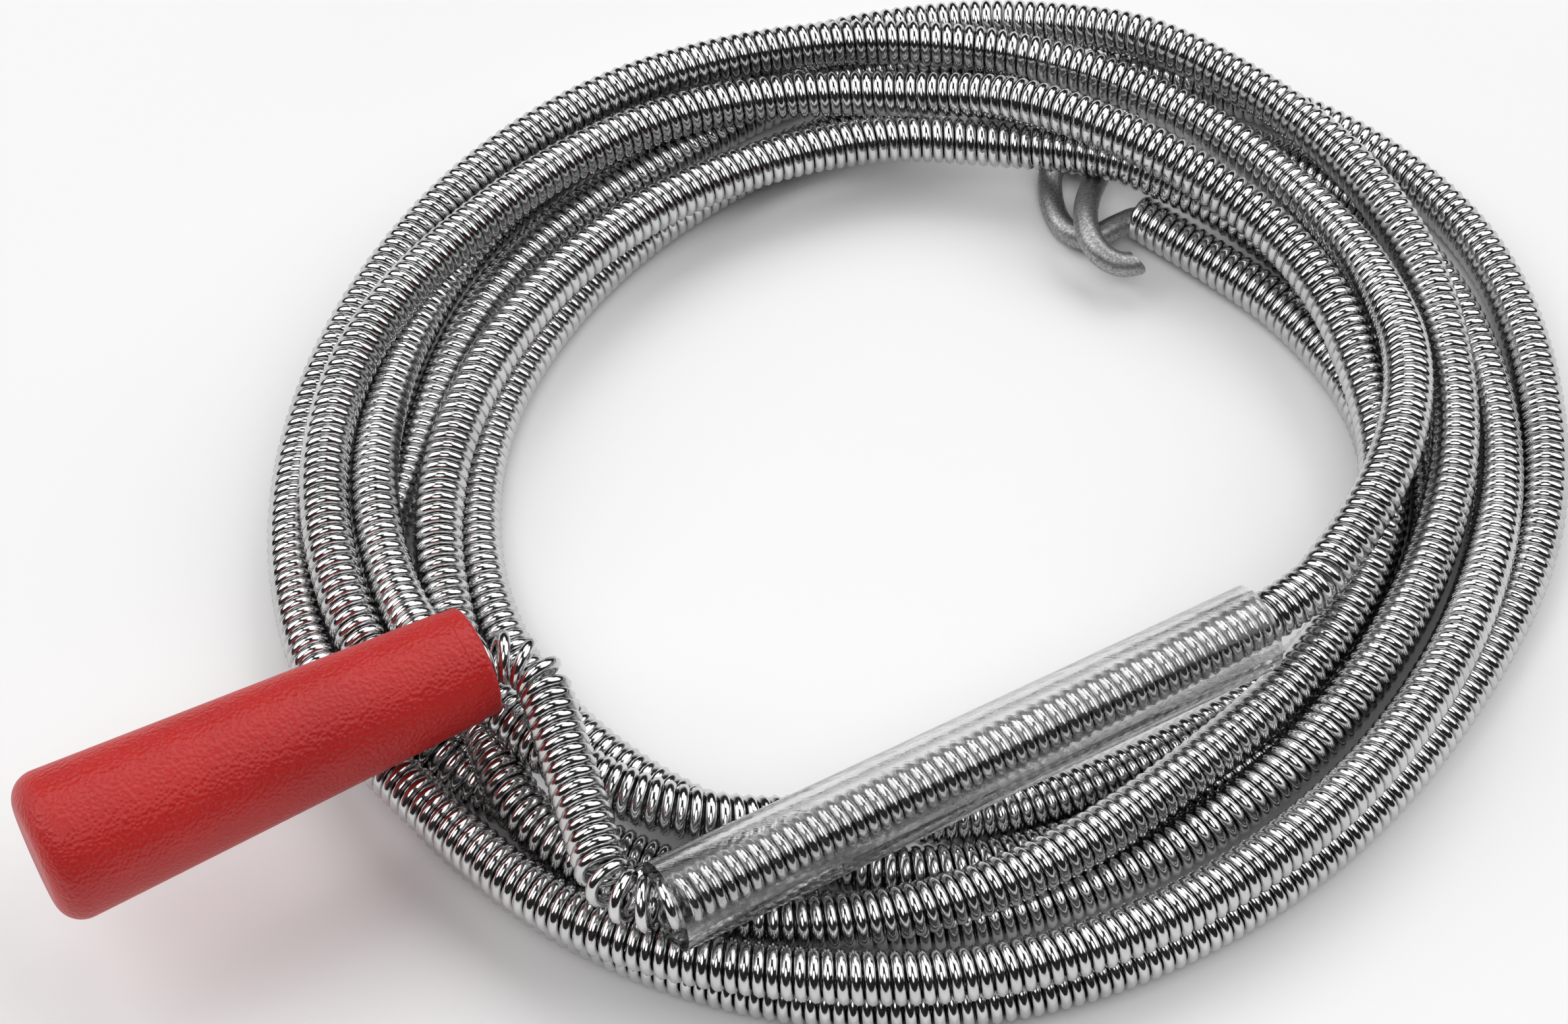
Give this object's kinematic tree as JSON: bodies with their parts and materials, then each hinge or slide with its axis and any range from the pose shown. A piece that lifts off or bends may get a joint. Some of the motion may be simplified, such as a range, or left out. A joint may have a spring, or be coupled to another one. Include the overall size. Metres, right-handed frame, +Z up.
{
  "type": "drain auger",
  "caption": "Coiled drain auger: a wound spring cable bent into a hand crank, with a turning grip, a clear sleeve and a wire hook.",
  "frame": {"origin": "on the floor, at the middle of the whole object's outline seen from above", "axes": "+Z up, +X towards the side of the coil opposite the grip, +Y away from the crank"},
  "size_m": [0.2632, 0.236, 0.0434],
  "materials": {
    "spring_steel": "bright drawn wire, close wound",
    "galvanised_wire": "dull galvanised, speckled",
    "red_grip": "fine pebble grain",
    "clear_tube": "clear flexible tube with lengthwise streaks"
  },
  "bodies": {
    "cable": {"cable_coil": "spring_steel", "cable_lead": "spring_steel", "crank_spring": "spring_steel", "retaining_turns": "spring_steel", "cable_tail": "spring_steel", "retrieving_hook": "galvanised_wire"},
    "grip": {"grip": "red_grip"},
    "sleeve": {"clear_sleeve": "clear_tube"}
  },
  "joints": [
    {"name": "grip_spin", "type": "hinge", "parent": "cable", "child": "grip", "pos_m": [-0.06055, -0.0646, 0.031], "axis": [-0.8721, -0.4893, 0], "continuous": true},
    {"name": "sleeve_spin", "type": "hinge", "parent": "cable", "child": "sleeve", "pos_m": [-0.0285, -0.10742, 0.02573], "axis": [-0.8667, -0.4979, 0.0299], "continuous": true}
  ]
}
